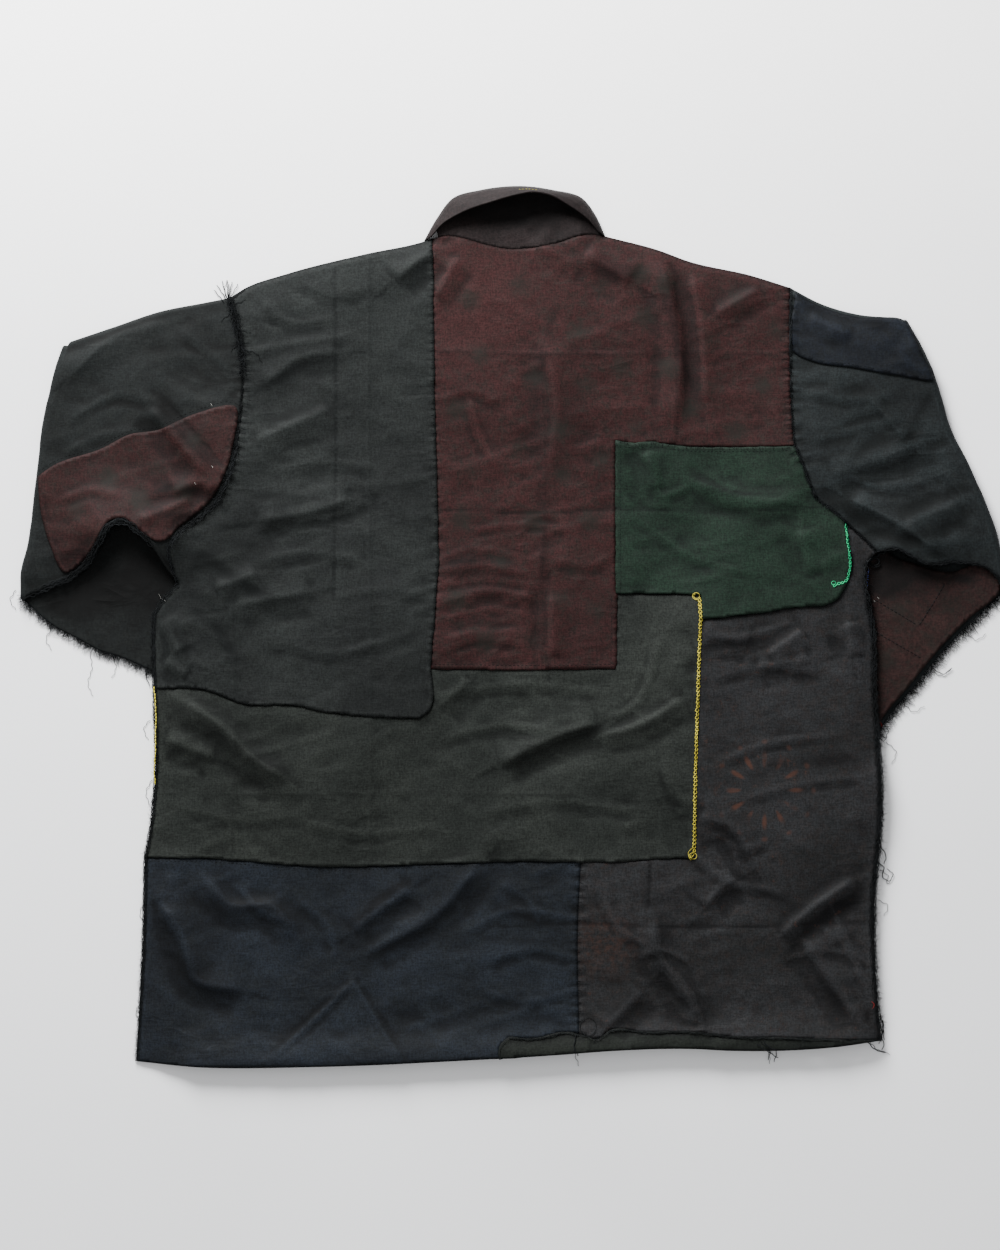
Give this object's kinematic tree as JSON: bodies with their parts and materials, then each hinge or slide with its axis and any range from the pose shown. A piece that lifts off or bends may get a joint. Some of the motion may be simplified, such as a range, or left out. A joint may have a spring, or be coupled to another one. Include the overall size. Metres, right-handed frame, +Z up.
{
  "type": "patched boro jacket, laid flat with its back up",
  "caption": "Patched boro work jacket laid flat, back up, sleeves folded under at the elbow, with raw seam edges.",
  "frame": {"origin": "middle of the laid-out jacket's bounding box, at the surface it lies on", "axes": "+Z up out of the back of the jacket, +Y from the hem towards the neck, +X towards the jacket's right sleeve as seen"},
  "size_m": [0.9091, 0.8094, 0.0274],
  "materials": {
    "green_black_cotton": "matt, washed cotton, green-black",
    "maroon_print_cotton": "matt, washed cotton, maroon with a faded small flower repeat",
    "green_cotton": "matt, washed cotton, dark green",
    "olive_cotton": "matt, washed cotton, olive-black",
    "navy_cotton": "matt, washed cotton, navy",
    "brown_cotton": "matt, washed cotton, brown-black with rust-orange fading",
    "slate_cotton": "matt, washed cotton, slate-green",
    "collar_cotton": "matt, washed cotton, brown-grey",
    "raw_edge": "frayed raw cloth edges and gather stitches",
    "sewing_thread": "matt cotton thread"
  },
  "bodies": {
    "root": {"back_left": "green_black_cotton", "back_maroon": "maroon_print_cotton", "back_green": "green_cotton", "back_olive": "olive_cotton", "back_navy": "navy_cotton", "back_brown": "brown_cotton", "hem_strip": "green_black_cotton", "front_left": "green_black_cotton", "front_right": "brown_cotton", "sleeve_left": "green_black_cotton", "sleeve_left_patch": "maroon_print_cotton", "sleeve_right": "slate_cotton", "sleeve_right_shoulder_patch": "navy_cotton", "sleeve_right_forearm_patch": "maroon_print_cotton", "collar_stand": "collar_cotton", "collar_fall": "collar_cotton", "collar_front_left": "collar_cotton", "collar_front_right": "collar_cotton", "allowance_left_armhole": "raw_edge", "allowance_right_armhole": "raw_edge", "allowance_left_underarm": "raw_edge", "allowance_right_underarm": "raw_edge", "allowance_left_side": "raw_edge", "allowance_right_side": "raw_edge"}
  },
  "joints": []
}
